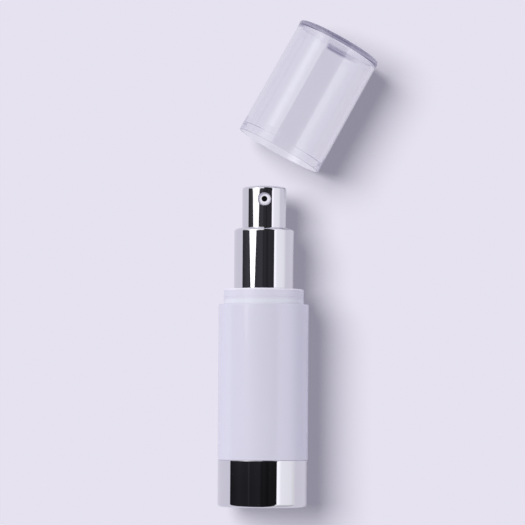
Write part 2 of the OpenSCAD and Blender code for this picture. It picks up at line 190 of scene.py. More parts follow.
def came_through(tree):
    """1 for a ray that has come through clear plastic, and 0 for any other."""
    depth = add_node(tree, "ShaderNodeLightPath").outputs["Transmission Depth"]
    return link_math(tree, "GREATER_THAN", depth, 0.5)


# %% [markdown]
# ## Table
# The table is one flat pale lilac, and the shadows are all that shows on it.
# Even the deepest shadow keeps over a third of the table's light, so that share is a plain glow
# and the key light brings the rest.
# Seen through the clear cap it stays as pale as elsewhere, though the cap throws a full shadow beside it.
# So the table glows with its whole colour for rays that have come through clear plastic.

# %% Table, surface
TABLE_COLOUR = light(230, 226, 240)
SHADOW_COLOUR = light(144, 141, 158)
TABLE_REACH = 1.0
TABLE_GAP = 0.02 * MM

table_z = cad_low.z - TABLE_GAP
table_mesh = bpy.data.meshes.new("table")
table_mesh.from_pydata(
    [(x * TABLE_REACH, y * TABLE_REACH, table_z) for x, y in ((-1, -1), (1, -1), (1, 1), (-1, 1))],
    [], [(0, 1, 2, 3)])
table = bpy.data.objects.new("table", table_mesh)
bpy.context.scene.collection.objects.link(table)
print(f"table at {table_z / MM:.2f} mm")

# %% Table, finish
table_finish = bpy.data.materials.new("table")
table_finish.use_nodes = True
tree = table_finish.node_tree
tree.nodes.clear()
lit = add_node(tree, "ShaderNodeBsdfDiffuse", Color=TABLE_COLOUR).outputs["BSDF"]
glow = add_node(tree, "ShaderNodeEmission", Color=SHADOW_COLOUR).outputs["Emission"]
plain = add_node(tree, "ShaderNodeEmission", Color=TABLE_COLOUR).outputs["Emission"]
both = in_order(tree, "ShaderNodeAddShader", lit, glow)
either = in_order(tree, "ShaderNodeMixShader", came_through(tree), both, plain)
add_node(tree, "ShaderNodeOutputMaterial", Surface=either)
table_mesh.materials.append(table_finish)
table_finish.cycles.emission_sampling = "NONE"
print("the table's colour as light:", [round(part, 3) for part in TABLE_COLOUR[:3]])

# %% [markdown]
# ## Key light
# The shadow falls to the right and a little towards the foot, with an edge 14 mm wide.
# A sun lamp of 34 degrees across makes that edge, and lights the table evenly from side to side,
# which a lamp close by would not. It brings what the table's own glow leaves out.
# Bright metal and clear plastic would show each sun as a white disc that the photograph doesn't have,
# so the suns are hidden from them.

# %% Key light
KEY_DIRECTION = Vector((-0.55, 0.28, 1.0))
KEY_ACROSS = 34


def add_sun(name, direction, across, colour, share):
    """A sun lamp that brings share of full light to a surface facing it, hidden from gloss and glass."""
    data = bpy.data.lights.new(name, "SUN")
    data.energy = share * math.pi
    data.color = colour
    data.angle = math.radians(across)
    lamp = bpy.data.objects.new(name, data)
    lamp.rotation_mode = "QUATERNION"
    lamp.rotation_quaternion = Vector(direction).to_track_quat("Z", "Y")
    lamp.visible_glossy = lamp.visible_transmission = False
    bpy.context.scene.collection.objects.link(lamp)
    return lamp


key_shares = [(full - dark) / full for full, dark in zip(TABLE_COLOUR[:3], SHADOW_COLOUR[:3])]
key_share = max(key_shares)
key = add_sun("key", KEY_DIRECTION, KEY_ACROSS, [part / key_share for part in key_shares],
              key_share / KEY_DIRECTION.normalized().z)
print(f"{key.name} brings {key_share:.2f} of the table's light")

# %% [markdown]
# ## Fill lights
# The bottle itself is also lit from all round, and from the white board on its right.
# Three wide sun lamps do that. They are linked to the object alone, so the table keeps one even colour.

# %% Fill lights
WHITE = (1.0, 1.0, 1.0)
# Each fill has the direction it comes from, its width in degrees and its share of full light
FILLS = {
    "sky": ((0, 0, 1), 170, 0.34),
    "left_wall": ((-1, 0, 0.1), 60, 0.16),
    "right_board": ((1, 0, 0.1), 50, 0.42),
}

lit_pieces = bpy.data.collections.new("lit_pieces")
for name, (direction, across, share) in FILLS.items():
    fill = add_sun(name, direction, across, WHITE, share)
    fill.light_linking.receiver_collection = lit_pieces
print("fill lights:", list(FILLS))

# %% [markdown]
# ## Studio around the table
# Bright metal shows the room, and this room is dark overhead with a tall white board on the right.
# Both are told by one angle: how far a direction leans to the right of straight up.
# One colour ramp over that angle holds the dim room, with a few streaks from its stands and walls,
# and another holds the board, whose near edge slants a little along the bottle.
# A direction also has a share towards the head, from -1 at the foot's end to 1 at the head's.
# The dim room and the board both fade towards the foot's end.

# %% Studio, the room's own values
ROOM_TINT = np.array([1.0, 0.98, 1.15])
BOARD_TINT = np.array([0.99, 0.985, 1.04])
# Brightness at each lean, in degrees to the right of straight up
DIM_ROOM = [(-95, 0.03), (-62, 0.06), (-50, 0.05), (-38, 0.05), (-35.5, 0.10), (-33, 0.045), (-20, 0.05),
            (-12, 0.055), (-6, 0.05), (-3, 0.025), (1, 0.035), (8, 0.03), (12, 0.02), (18, 0.035),
            (35, 0.03)]
DIM_LOW, DIM_HIGH = 0.35, 1.0
DIM_FOOT, DIM_HEAD = -0.02, 0.05
# Brightness of the board, in degrees to the right of its near edge
BOARD_ROOM = [(0, 0), (0.8, 1.4), (6, 1.3), (12, 1.06), (40, 1.0), (52, 0.84)]
BOARD_EDGE = 37
BOARD_LOW, BOARD_HIGH = 0.6, 1.0
BOARD_FOOT, BOARD_HEAD = -0.4, -0.12
BOARD_SLANT = 40
SLANT_FOOT, SLANT_HEAD = -0.1, 0.15


def room_stops(room, tint, start=0):
    """Ramp stops from (degrees, brightness) pairs: 0 is 180 degrees to the left and 1 to the right."""
    return [((start + angle + 180) / 360, (*(shine * tint).tolist(), 1.0)) for angle, shine in room]


print("studio with", len(DIM_ROOM), "and", len(BOARD_ROOM), "stops")

# %% Studio, directions
world = bpy.data.worlds.new("studio")
bpy.context.scene.world = world
world.use_nodes = True
tree = world.node_tree
tree.nodes.clear()
to_right, to_head, upwards = axes(tree, "Generated")
lean = link_math(tree, "ARCTAN2", to_right, upwards)
place = link_math(tree, "MULTIPLY_ADD", lean, 0.5 / math.pi, 0.5)
held = link_math(tree, "MINIMUM", link_math(tree, "MAXIMUM", to_head, SLANT_FOOT), SLANT_HEAD)
slanted = link_math(tree, "MULTIPLY_ADD", held, -BOARD_SLANT / 360, place)
print("nodes that tell a direction:", len(tree.nodes))


# %% Studio, dim room and board
def lit_room(stops, place, share):
    """The colour at a place on a ramp of (position, colour) stops, made weaker by a share."""
    node = add_node(tree, "ShaderNodeValToRGB", Fac=place)
    elements = node.color_ramp.elements
    while len(elements) > 1:
        elements.remove(elements[-1])
    elements[0].position, elements[0].color = stops[0]
    for position, colour in stops[1:]:
        elements.new(position).color = colour
    weaker = add_node(tree, "ShaderNodeVectorMath", operation="SCALE", Scale=share,
                      Vector=node.outputs["Color"])
    return weaker.outputs["Vector"]


dim_share = mapped(tree, to_head, DIM_FOOT, DIM_HEAD, DIM_LOW, DIM_HIGH, "LINEAR")
board_share = mapped(tree, to_head, BOARD_FOOT, BOARD_HEAD, BOARD_LOW, BOARD_HIGH, "LINEAR")
both_rooms = in_order(
    tree, "ShaderNodeVectorMath", lit_room(room_stops(DIM_ROOM, ROOM_TINT), place, dim_share),
    lit_room(room_stops(BOARD_ROOM, BOARD_TINT, BOARD_EDGE), slanted, board_share), operation="ADD")
print("nodes with the dim room and the board:", len(tree.nodes))

# %% [markdown]
# ## High wall
# Beyond the head, on the left, stands a pale wall that only rounded rims and the overcap catch.
# It is three soft edges multiplied together, one towards the head and two across, times its colour.

# %% High wall
HIGH_WALL = (0.95, 0.94, 1.0)
HIGH_WALL_LOW, HIGH_WALL_FULL = 0.28, 0.38
HIGH_WALL_LEFT, HIGH_WALL_RIGHT = math.radians(-88), math.radians(-2)
HIGH_WALL_SOFT = math.radians(3)

wall_share = product(
    tree, mapped(tree, to_head, HIGH_WALL_LOW, HIGH_WALL_FULL),
    mapped(tree, lean, HIGH_WALL_LEFT - HIGH_WALL_SOFT, HIGH_WALL_LEFT + HIGH_WALL_SOFT),
    mapped(tree, lean, HIGH_WALL_RIGHT + HIGH_WALL_SOFT, HIGH_WALL_RIGHT - HIGH_WALL_SOFT))
gloss_room = in_order(
    tree, "ShaderNodeVectorMath", wall_share, HIGH_WALL, both_rooms, operation="MULTIPLY_ADD")
print("nodes with the high wall:", len(tree.nodes))

# %% [markdown]
# ## What each kind of ray sees
# Gloss sees the room. Rays that have come through clear plastic see the same room overhead
# and the table's colour low down, where a real table would go on. The camera sees the table's colour
# past the table's edge. Any other ray sees black, so the room brings no light of its own.

# %% What each kind of ray sees
HORIZON_FROM, HORIZON_TO = 0.35, 0.15
BLACK = (0, 0, 0, 1)

clear_view = add_node(
    tree, "ShaderNodeMix", data_type="RGBA", A=gloss_room, B=TABLE_COLOUR,
    Factor=mapped(tree, upwards, HORIZON_FROM, HORIZON_TO)).outputs["Result"]
rays = add_node(tree, "ShaderNodeLightPath").outputs
seen = BLACK
for ray, colour in ((rays["Is Glossy Ray"], gloss_room), (came_through(tree), clear_view),
                    (rays["Is Camera Ray"], TABLE_COLOUR)):
    seen = add_node(tree, "ShaderNodeMix", data_type="RGBA", Factor=ray, A=seen, B=colour).outputs["Result"]
background = add_node(tree, "ShaderNodeBackground", Color=seen).outputs["Background"]
add_node(tree, "ShaderNodeOutputWorld", Surface=background)
print("nodes in the studio:", len(tree.nodes))

# %% [markdown]
# ## Softbox
# The white stripe in the bright metal is an eight-sided softbox on the upper left, 60 cm across.
# Its lowest corner points at the foot, so the stripe is wide on the head, narrow on the collar,
# ends as a faint line on the white body, and misses the base.
# It is a real surface close by, because a stripe that tapers can't come from far away.
# It glows brightest along its middle and fades towards its sides, as cloth in front of a lamp does.

# %% Softbox, a glowing card
def card(name, corners, middle_light, edge_light, fade):
    """A flat glowing card that only gloss and clear plastic see, brightest along its middle.

    fade is how far from its middle line the glow reaches edge_light, as a share of its width.
    """
    mesh = bpy.data.meshes.new(name)
    mesh.from_pydata([tuple(corner) for corner in corners], [], [tuple(range(len(corners)))])
    piece = bpy.data.objects.new(name, mesh)
    bpy.context.scene.collection.objects.link(piece)
    piece.visible_camera = piece.visible_diffuse = piece.visible_shadow = False
    glow = bpy.data.materials.new(name)
    glow.use_nodes = True
    tree = glow.node_tree
    tree.nodes.clear()
    aside = link_math(tree, "ABSOLUTE", link_math(tree, "SUBTRACT", axes(tree, "Generated")["X"], 0.5))
    strength = mapped(tree, aside, 0.0, fade, middle_light, edge_light)
    lamp = add_node(tree, "ShaderNodeEmission", Strength=strength).outputs["Emission"]
    add_node(tree, "ShaderNodeOutputMaterial", Surface=lamp)
    glow.cycles.emission_sampling = "NONE"
    mesh.materials.append(glow)
    return piece


# %% Softbox in its place
SOFTBOX_AWAY = 600 * MM
SOFTBOX_LEAN = math.radians(-44)
SOFTBOX_TIP = 58 * MM
SOFTBOX_REACH = 300 * MM
SOFTBOX_SIDES = 8
SOFTBOX_LIGHT, SOFTBOX_EDGE = 2.5, 1.15
SOFTBOX_FADE = 0.36

softbox_out = Vector((math.sin(SOFTBOX_LEAN), 0, math.cos(SOFTBOX_LEAN)))
softbox_middle = softbox_out * SOFTBOX_AWAY + Vector((0, SOFTBOX_TIP + SOFTBOX_REACH, 0))
towards_foot = Vector((0, -1, 0))
sideways = softbox_out.cross(towards_foot)
turns = [2 * math.pi * step / SOFTBOX_SIDES for step in range(SOFTBOX_SIDES)]
softbox = card(
    "softbox",
    [softbox_middle + SOFTBOX_REACH * (math.cos(t) * towards_foot + math.sin(t) * sideways) for t in turns],
    SOFTBOX_LIGHT, SOFTBOX_EDGE, SOFTBOX_FADE)
print("softbox corners:", len(softbox.data.vertices))

# %% [markdown]
# ## Turned surfaces
# Nearly every outer piece is round, so it is a profile carried round an axis.
# The profile is written as a draughtsman would: corners, each with its rounding.
# A formula puts the touching circle into every corner, and numpy turns the whole profile at once.
# Two extra points close to each rounding keep the long walls shaded flat, so bright metal
# shows straight stripes on them.

# %% Profiles
SUPPORT = 0.04
SUPPORT_MOST = 0.25
CORNER_STEPS = 6
RING = 256
TINY, ON_AXIS = 1e-9, 1e-6


def rounded(corners, steps=CORNER_STEPS):
    """Outline through (radius, height, rounding) corners, in millimetres.

    The circle that touches both sides of a corner has its middle on their bisector,
    rounding / sin(half the angle) from the tip, and touches rounding / tan(half the angle) from it.
    """
    rows = np.array(corners, float)
    tip, fillet = rows[:, :2], rows[:, 2:]
    back = np.roll(tip, 1, axis=0) - tip
    ahead = np.roll(tip, -1, axis=0) - tip
    back /= np.linalg.norm(back, axis=1, keepdims=True)
    ahead /= np.linalg.norm(ahead, axis=1, keepdims=True)
    half = np.arccos(np.clip((back * ahead).sum(1, keepdims=True), -1, 1)) / 2
    bisector = back + ahead
    bisector /= np.maximum(np.linalg.norm(bisector, axis=1, keepdims=True), TINY)
    middle = tip + bisector * fillet / np.sin(half)
    first, last = (tip + side * fillet / np.tan(half) for side in (back, ahead))
    angle = np.arctan2(*(first - middle).T[::-1])
    sweep = (np.arctan2(*(last - middle).T[::-1]) - angle + np.pi) % (2 * np.pi) - np.pi
    turn = angle[:, None] + sweep[:, None] * np.linspace(0, 1, steps + 1)
    arcs = middle[:, None] + fillet[:, None] * np.stack([np.cos(turn), np.sin(turn)], -1)
    wall = np.roll(first, -1, axis=0) - last
    length = np.maximum(np.linalg.norm(wall, axis=1, keepdims=True), TINY)
    share = np.minimum(SUPPORT_MOST, SUPPORT / length)
    points = np.concatenate([arcs, (last + wall * share)[:, None], (last + wall * (1 - share))[:, None]], 1)
    round_here = fillet[:, 0] > 0
    kept = np.repeat(round_here[:, None], steps + 3, 1)
    kept[:, 0] = True
    kept[:, -1] = np.roll(round_here, -1)
    return points[kept]


def circle_points(middle, radius, start, end, steps):
    """Points on a circle or ellipse: middle + radius * (cos, sin) of evenly spaced degrees."""
    turn = np.radians(np.linspace(start, end, steps + 1))
    return np.array(middle) + np.array(radius) * np.stack([np.cos(turn), np.sin(turn)], -1)


one_rounding = rounded([(1, 0, 0), (2, 0, 0), (2, 1, 0.2), (1, 1, 0)])
print("a square with one rounding has", len(one_rounding), "points")


# %% Turning a profile
def turned(outline, foot=(0, 0, 0), along=(0, 1, 0), across=(1, 0, 0)):
    """Points, quads and triangles of a profile carried round an axis, in metres.

    The point (radius, height) turned by the angle a lies at
    foot + radius * (cos a * across + sin a * side) + height * along, where side = across x along.
    An outline that starts and ends on the axis gets one point at each pole, and any other is a ring.
    """
    foot, along, across = (np.array(vector, float) for vector in (foot, along, across))
    side = np.cross(across, along)
    a = 2 * np.pi * np.arange(RING)[:, None, None] / RING
    poles = outline[[0, -1], 0].max() < ON_AXIS
    body = outline[1:-1] if poles else outline
    radius, height = body[None, :, :1], body[None, :, 1:]
    points = foot + radius * (np.cos(a) * across + np.sin(a) * side) + height * along
    count = len(body)
    column = np.arange(RING)[:, None]
    following = (column + 1) % RING
    row = np.arange(count - 1 if poles else count)
    up = (row + 1) % count
    quads = np.stack([column * count + row, column * count + up,
                      following * count + up, following * count + row], -1)
    points = points.reshape(-1, 3)
    triangles = np.zeros((0, 3), int)
    if poles:
        start, end = len(points), len(points) + 1
        points = np.vstack([points, foot + outline[[0, -1], 1:] * along])
        i, j = column[:, 0], following[:, 0]
        triangles = np.vstack([
            np.stack([np.full(RING, start), i * count, j * count], 1),
            np.stack([i * count + count - 1, np.full(RING, end), j * count + count - 1], 1)])
    return points * MM, quads, triangles


# %% Making pieces
def add_piece(name, points, faces, body, finish, replaced):
    """A smooth piece that rides on a body, wears the given finish and stands for CAD nodes."""
    mesh = bpy.data.meshes.new(name)
    mesh.from_pydata(points.tolist(), [], faces)
    mesh.shade_smooth()
    piece = bpy.data.objects.new(name, mesh)
    bpy.context.scene.collection.objects.link(piece)
    mesh.materials.append(finish)
    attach(piece, body)
    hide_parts(*replaced)
    corners = points.reshape(-1, 3)
    print(f"{name}: {len(faces)} faces, {np.round((corners.max(0) - corners.min(0)) / MM, 2)} mm")
    return piece


def add_turned(name, outline, body, slot, finish, replaced, **axis):
    """A turned profile made into a piece."""
    points, quads, triangles = turned(outline, **axis)
    faces = quads.reshape(-1, 4).tolist() + triangles.tolist()
    return add_piece(name, points, faces, body, finish, replaced)


def reach(node):
    """Radius, lowest and highest place along the bottle of a CAD node, in millimetres."""
    low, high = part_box(node)
    return round(high.x / MM, 3), round(low.y / MM, 3), round(high.y / MM, 3)


# %% [markdown]
# ## Effects that the finishes share
# Moulded plastic is never quite even: the tool's surface leaves a fine grain, and the gloss
# changes softly from place to place. Both come from noise on the object's own coordinates,
# so they stay on the piece when it moves. They are node groups, because every finish uses them
# with its own sizes.

# %% Shared node groups
NUMBER, COLOUR = "NodeSocketFloat", "NodeSocketColor"


def new_group(name, inputs, outputs):
    """An empty node group with (name, socket kind, value) inputs and (name, socket kind) outputs."""
    group = bpy.data.node_groups.new(name, "ShaderNodeTree")
    for label, kind, value in inputs:
        group.interface.new_socket(label, in_out="INPUT", socket_type=kind).default_value = value
    for label, kind in outputs:
        group.interface.new_socket(label, in_out="OUTPUT", socket_type=kind)
    return group, group.nodes.new("NodeGroupInput"), group.nodes.new("NodeGroupOutput")


# %% Skin of moulded plastic
moulded, given, made = new_group(
    "moulded_skin",
    [("Grain", NUMBER, 1500.0), ("Patches", NUMBER, 60.0),
     ("Roughness", NUMBER, 0.3), ("Spread", NUMBER, 0.05)],
    [("Roughness", NUMBER), ("Height", NUMBER)])
where = add_node(moulded, "ShaderNodeTexCoord").outputs["Object"]
grain = add_node(moulded, "ShaderNodeTexNoise", Vector=where, Scale=given.outputs["Grain"],
                 Detail=3.0, Roughness=0.6)
patches = add_node(moulded, "ShaderNodeTexNoise", Vector=where, Scale=given.outputs["Patches"],
                   Detail=2.0, Roughness=0.5)
from_middle = link_math(moulded, "SUBTRACT", patches.outputs["Fac"], 0.5)
uneven = link_math(moulded, "MULTIPLY_ADD", from_middle, given.outputs["Spread"], given.outputs["Roughness"])
give(moulded, made.inputs["Roughness"], uneven)
give(moulded, made.inputs["Height"], grain.outputs["Fac"])
print("group:", moulded.name)

# %% Clouded colour
clouded, given, made = new_group(
    "clouded_colour",
    [("Size", NUMBER, 40.0), ("Color A", COLOUR, (1, 1, 1, 1)), ("Color B", COLOUR, (1, 1, 1, 1))],
    [("Color", COLOUR)])
where = add_node(clouded, "ShaderNodeTexCoord").outputs["Object"]
clouds = add_node(clouded, "ShaderNodeTexNoise", Vector=where, Scale=given.outputs["Size"],
                  Detail=3.0, Roughness=0.55)
blend = add_node(clouded, "ShaderNodeMix", data_type="RGBA", Factor=clouds.outputs["Fac"],
                 A=given.outputs["Color A"], B=given.outputs["Color B"])
give(clouded, made.inputs["Color"], blend.outputs["Result"])
print("group:", clouded.name)


# %% Starting a finish
def new_finish(name, colours, clouds, grain, patches, roughness, spread, depth, **shader):
    """A material whose shader gets clouded colour, uneven gloss and a fine grain.

    colours are the two ends of the clouded colour. clouds, grain and patches are the scales
    of their noises, roughness changes by spread, and depth is the grain's height in metres.
    """
    finish = bpy.data.materials.new(name)
    finish.use_nodes = True
    tree = finish.node_tree
    skin = add_node(tree, "ShaderNodeGroup", node_tree=moulded, Grain=grain, Patches=patches,
                    Roughness=roughness, Spread=spread).outputs
    colour = add_node(tree, "ShaderNodeGroup", node_tree=clouded, Size=clouds,
                      Color_A=colours[0], Color_B=colours[1]).outputs
    bump = add_node(tree, "ShaderNodeBump", Strength=1.0, Distance=depth, Height=skin["Height"]).outputs
    shader.update(Base_Color=colour["Color"], Roughness=skin["Roughness"], Normal=bump["Normal"])
    for label, value in shader.items():
        give(tree, tree.nodes["Principled BSDF"].inputs[label.replace("_", " ")], value)
    return finish


# %% [markdown]
# ## Colours laid over a finish
# Some marks sit at one place of a piece, such as a dark hole or a paler edge.
# The place on the object is turned into a share from 0 to 1, and one more colour is mixed
# over the finish by that share, so the mark stays on the piece when it moves.

# %% Colours laid over a finish
def overlay(finish, share, colour):
    """Lays one more colour over a finish where share is 1."""
    tree = finish.node_tree
    base = tree.nodes["Principled BSDF"].inputs["Base Color"]
    both = add_node(tree, "ShaderNodeMix", data_type="RGBA", clamp_factor=True, Factor=share,
                    A=base.links[0].from_socket, B=colour)
    give(tree, base, both.outputs["Result"])


# %% [markdown]
# ## Bright metallised plastic
# The base, the collar and the head are plastic with a film of metal under clear lacquer.
# It mirrors almost cleanly, a little darker than silver, and the lacquer leaves a faint waviness.
# A metallic shader with very low roughness does this, and a shallow broad grain bends the stripes slightly.

# %% Bright metallised finish
bright = new_finish(
    "bright_metallised", (light(215, 215, 220), light(221, 221, 225)), clouds=70.0, grain=130.0,
    patches=45.0, roughness=0.035, spread=0.03, depth=6 * MICRON, Metallic=1.0)
print("finish:", bright.name)

# %% [markdown]
# ## White plastics
# The body and the ring are white plastic that looks lavender beside the table.
# They are glossy with a fine lacquer grain, and the body's lacquer is thick enough to mirror a little,
# so it gets a thin clear coat. The nozzle is whiter than both.

# %% White finishes
white_body = new_finish(
    "white_body", (light(202, 200, 221), light(205, 203, 224)), clouds=60.0, grain=1400.0,
    patches=50.0, roughness=0.30, spread=0.08, depth=3 * MICRON, Coat_Weight=0.4, Coat_Roughness=0.05)
white_ring = new_finish(
    "white_ring", (light(205, 203, 223), light(208, 206, 226)), clouds=70.0, grain=1600.0,
    patches=60.0, roughness=0.28, spread=0.08, depth=3 * MICRON)
white_nozzle = new_finish(
    "white_nozzle", (light(226, 225, 240), light(231, 230, 244)), clouds=300.0, grain=2000.0,
    patches=200.0, roughness=0.30, spread=0.08, depth=2 * MICRON)
print("finishes:", white_body.name, white_ring.name, white_nozzle.name)

# %% [markdown]
# ## Painted light and shade on the ring and the nozzle
# In the photograph the ring is paler and bluer below its groove and along its top edge; here both are
# painted light, a paler band below the groove and a painted highlight along the top edge.
# The nozzle's hole is dark, and its outer rounding is shaded, most towards the upper left; both are painted
# shade.
# These marks imitate how light falls there, so each is a colour that begins at one distance
# and is full at another.

# %% Marks on the ring
# Painted light on the ring: a paler band below the groove and a painted highlight along its top edge
RING_PAINTED_LIGHT, RING_PAINTED_HIGHLIGHT = light(212, 213, 230), light(226, 223, 240)
LOWER_LIGHT_FROM, LOWER_LIGHT_FULL = 3.0 * MM, 3.4 * MM
HIGHLIGHT_FROM, HIGHLIGHT_FULL = 0.5 * MM, 0.3 * MM

ring_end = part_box("seat_ring")[1].y
up_ring = axes(white_ring.node_tree, "Object")["Y"]
for colour, begins, full in ((RING_PAINTED_LIGHT, LOWER_LIGHT_FROM, LOWER_LIGHT_FULL), (RING_PAINTED_HIGHLIGHT, HIGHLIGHT_FROM, HIGHLIGHT_FULL)):
    overlay(white_ring, mapped(white_ring.node_tree, up_ring, ring_end - begins, ring_end - full), colour)
print(f"the ring ends at {ring_end / MM:.2f} mm")

# %% Marks on the nozzle
# Painted shade on the nozzle: darker on its outer rounding, most towards the upper left, and dark in its
# hole
PAINTED_HOLE_SHADE, NOZZLE_SHADE = light(22, 20, 28), light(158, 153, 178)
SHADE_FROM, SHADE_FULL = 1.25 * MM, 2.0 * MM
SHADE_ASIDE = 0.25
HOLE_FROM, HOLE_FULL = 0.95 * MM, 0.8 * MM

nozzle_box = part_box("nozzle_insert")
nozzle_y = (nozzle_box[0].y + nozzle_box[1].y) / 2


def round_nozzle(tree):
    """How far a place is to the right of the nozzle's axis, ahead of it, and straight away from it."""
    right, along, _ = axes(tree, "Object")
    ahead = link_math(tree, "SUBTRACT", along, nozzle_y)
    squares = link_math(tree, "ADD", product(tree, ahead, ahead), product(tree, right, right))
    return right, ahead, link_math(tree, "SQRT", squares)


tree = white_nozzle.node_tree
right, ahead, away = round_nozzle(tree)
upper_left = link_math(tree, "SUBTRACT", ahead, right)
shaded = link_math(tree, "MULTIPLY_ADD", upper_left, SHADE_ASIDE, away)
overlay(white_nozzle, mapped(tree, shaded, SHADE_FROM, SHADE_FULL), NOZZLE_SHADE)
overlay(white_nozzle, mapped(tree, away, HOLE_FROM, HOLE_FULL), PAINTED_HOLE_SHADE)
print(f"the nozzle's axis stands at {nozzle_y / MM:.2f} mm")

# %% [markdown]
# ## Clear plastic
# The overcap is clear styrene-like plastic. It bends light as plastic does, and its thick top
# looks darker and more lilac than its thin wall, because the plastic itself takes up a little light.
# So the shader passes light straight through, and a faint absorption fills the solid.
# A few rays stay caught between its walls. The renderer stops following them at some point
# and would show black there, so after a few bounces they end in a painted pale glow close to the table's
# colour.

# %% Clear finish
CLEAR_BENDING = 1.5
CLEAR_TINT = light(219, 218, 227)
CLEAR_DENSITY = 113.0
CLEAR_TRAPPED = 5.5
# A painted pale glow in which caught rays end instead of black
TRAPPED_GLOW_COLOUR = light(220, 217, 234)

clear = new_finish(
    "clear_cap", (light(249, 250, 251), light(250, 251, 252)), clouds=50.0, grain=90.0,
    patches=40.0, roughness=0.0, spread=0.0, depth=1.5 * MICRON,
    IOR=CLEAR_BENDING, Transmission_Weight=1.0)
tree = clear.node_tree
surface = tree.nodes["Principled BSDF"].outputs["BSDF"]
trapped_glow = add_node(tree, "ShaderNodeEmission", Color=TRAPPED_GLOW_COLOUR).outputs["Emission"]
inside = add_node(tree, "ShaderNodeVolumeAbsorption", Color=CLEAR_TINT, Density=CLEAR_DENSITY)
bounces = add_node(tree, "ShaderNodeLightPath").outputs["Ray Depth"]
trapped = link_math(tree, "GREATER_THAN", bounces, CLEAR_TRAPPED)
out = tree.nodes["Material Output"]
give(tree, out.inputs["Surface"], in_order(tree, "ShaderNodeMixShader", trapped, surface, trapped_glow))
give(tree, out.inputs["Volume"], inside.outputs["Volume"])
clear.cycles.emission_sampling = "NONE"
print("finish:", clear.name)

# %% [markdown]
# ## Base
# The base is a shallow cup: a wall, a thick floor with an air hole, a rim that the bottle stands on,
# and a spigot that goes up inside the sleeve. All of it is one ring-shaped profile.
# Edges come in three kinds on this bottle: crisp ones of the tool, fine ones and soft ones.

# %% Base
CRISP_EDGE, FINE_EDGE, SOFT_EDGE = 0.05, 0.1, 0.2
SLEEVE_WALL = 1.2
FOOT_ROUND = 1.0
FOOT_RIM = 2.4
FOOT_HOLLOW = 0.5
BASE_FLOOR = 1.6
SPIGOT_RISE = 4.4
SPIGOT_WALL = 0.65
SPIGOT_FIT = 0.05
VENT_RADIUS = 0.8

body_r, foot, spigot_top = reach("base_cup")
joint = spigot_top - SPIGOT_RISE
rim_r = body_r - FOOT_ROUND - FOOT_RIM
spigot_r = body_r - SLEEVE_WALL - SPIGOT_FIT
base_outline = rounded([
    (VENT_RADIUS, foot + FOOT_HOLLOW, FINE_EDGE),
    (rim_r, foot + FOOT_HOLLOW, FINE_EDGE),
    (rim_r, foot, SOFT_EDGE),
    (body_r, foot, FOOT_ROUND),
    (body_r, joint, SOFT_EDGE),
    (spigot_r, joint, CRISP_EDGE),
    (spigot_r, spigot_top, FINE_EDGE),
    (spigot_r - SPIGOT_WALL, spigot_top, FINE_EDGE),
    (spigot_r - SPIGOT_WALL, foot + BASE_FLOOR, FINE_EDGE),
    (VENT_RADIUS, foot + BASE_FLOOR, FINE_EDGE),
], steps=8)
add_turned("base", base_outline, "bottle", "bright_metallised", bright, ["base_cup"])

# %% [markdown]
# ## Sleeve
# The sleeve is the plain white wall of the body, with a ledge inside that carries the inner bottle.

# %% Sleeve
SHOULDER_ROUND = 0.4
LEDGE_DROP = 1.2
LEDGE_THICK = 1.2
LEDGE_REACH = 0.7

sleeve_r, sleeve_low, shoulder = reach("outer_sleeve")
wall_r = sleeve_r - SLEEVE_WALL
ledge = shoulder - LEDGE_DROP
sleeve_outline = rounded([
    (wall_r, sleeve_low, CRISP_EDGE),
    (sleeve_r, sleeve_low, SOFT_EDGE),
    (sleeve_r, shoulder, SHOULDER_ROUND),
    (wall_r, shoulder, CRISP_EDGE),
    (wall_r, ledge, CRISP_EDGE),
    (wall_r - LEDGE_REACH, ledge, FINE_EDGE),
    (wall_r - LEDGE_REACH, ledge - LEDGE_THICK, FINE_EDGE),
    (wall_r, ledge - LEDGE_THICK, CRISP_EDGE),
])
add_turned("sleeve", sleeve_outline, "bottle", "white_body", white_body, ["outer_sleeve"])

# %% [markdown]
# ## Seat ring
# The overcap slides over this ring. Seen in section it is an upside-down U, and a fine groove
# runs round it where the photograph shows it turn paler; below the groove the ring has painted light.

# %% Seat ring
RING_WALL = 1.2
RING_ROUND = 0.4
RING_BORE = 7.3
GROOVE_RISE = 1.7
GROOVE_WIDE = 0.4
GROOVE_DEEP = 0.05
GROOVE_LIP, GROOVE_BED = 0.04, 0.02

ring_r, ring_low, ring_top = reach("seat_ring")
groove = ring_low + GROOVE_RISE
ring_outline = rounded([
    (RING_BORE, ring_low, CRISP_EDGE),
    (RING_BORE + RING_WALL, ring_low, CRISP_EDGE),
    (RING_BORE + RING_WALL, ring_top - RING_WALL, SOFT_EDGE),
    (ring_r - RING_WALL, ring_top - RING_WALL, SOFT_EDGE),
    (ring_r - RING_WALL, ring_low, CRISP_EDGE),
    (ring_r, ring_low, CRISP_EDGE),
    (ring_r, groove, GROOVE_LIP),
    (ring_r - GROOVE_DEEP, groove, GROOVE_BED),
    (ring_r - GROOVE_DEEP, groove + GROOVE_WIDE, GROOVE_BED),
    (ring_r, groove + GROOVE_WIDE, GROOVE_LIP),
    (ring_r, ring_top, RING_ROUND),
    (RING_BORE, ring_top, CRISP_EDGE),
], steps=8)
add_turned("seat", ring_outline, "bottle", "white_ring", white_ring, ["seat_ring"])

# %% [markdown]
# ## Collar
# The collar is a thin tube whose upper end curls in towards the head as most of a quarter of an ellipse.

# %% Collar
COLLAR_WALL = 0.75
COLLAR_HOLE = 6.95
COLLAR_LIP = 1.1
CURL_END = 82

